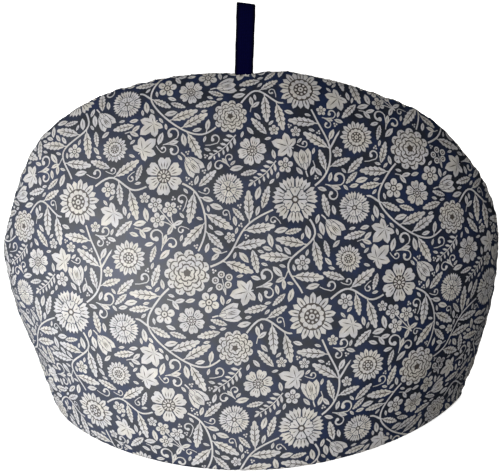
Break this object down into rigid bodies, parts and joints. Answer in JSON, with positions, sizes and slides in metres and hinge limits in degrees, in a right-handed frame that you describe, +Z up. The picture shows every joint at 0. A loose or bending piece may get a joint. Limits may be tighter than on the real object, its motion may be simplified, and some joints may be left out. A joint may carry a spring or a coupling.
{
  "type": "tea cosy",
  "caption": "Padded dome-shaped tea cosy of two printed cotton panels joined by a curved seam, open along the hem, with a tape hanging loop at the top.",
  "frame": {"origin": "on the table, in the middle of the open hem", "axes": "+Z up, -Y out through the front panel, +X to the right along the seam's plane as seen from the front"},
  "size_m": [0.3458, 0.1813, 0.2901],
  "materials": {
    "printed_cotton": "matt woven cotton printed with cream flowers on slate blue",
    "navy_tape": "matt woven cotton tape"
  },
  "bodies": {
    "root": {"front_panel": "printed_cotton", "back_panel": "printed_cotton", "hanging_loop": "navy_tape"}
  },
  "joints": []
}
